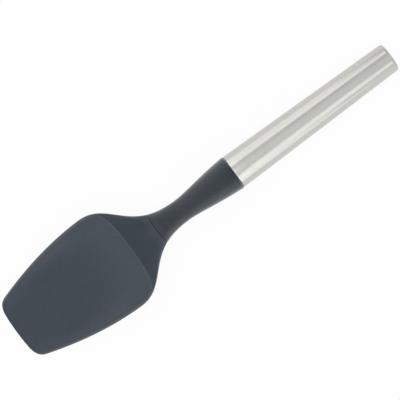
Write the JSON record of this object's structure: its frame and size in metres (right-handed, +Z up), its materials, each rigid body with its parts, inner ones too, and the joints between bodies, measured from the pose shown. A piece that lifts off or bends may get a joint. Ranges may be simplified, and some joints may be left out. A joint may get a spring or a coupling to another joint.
{
  "type": "spoon spatula",
  "caption": "Kitchen spoon spatula with a shallow silicone bowl, a waisted nylon neck and a tapered hollow steel handle with a domed end.",
  "frame": {"origin": "on the table plane, under the middle of the whole spatula's box", "axes": "+X from the handle towards the bowl's tip, +Z up out of the bowl, +Y across to the left of +X"},
  "size_m": [0.2794, 0.0636, 0.0231],
  "materials": {
    "silicone": "matte slate grey silicone",
    "nylon": "satin slate grey nylon",
    "seal": "dark sealing compound",
    "steel_tube": "fine brushed across the handle",
    "steel_cap": "fine brushed"
  },
  "bodies": {
    "root": {"silicone_head": "silicone", "neck_core": "nylon", "seal_ring": "seal", "handle_tube": "steel_tube", "end_cap": "steel_cap"}
  },
  "joints": []
}
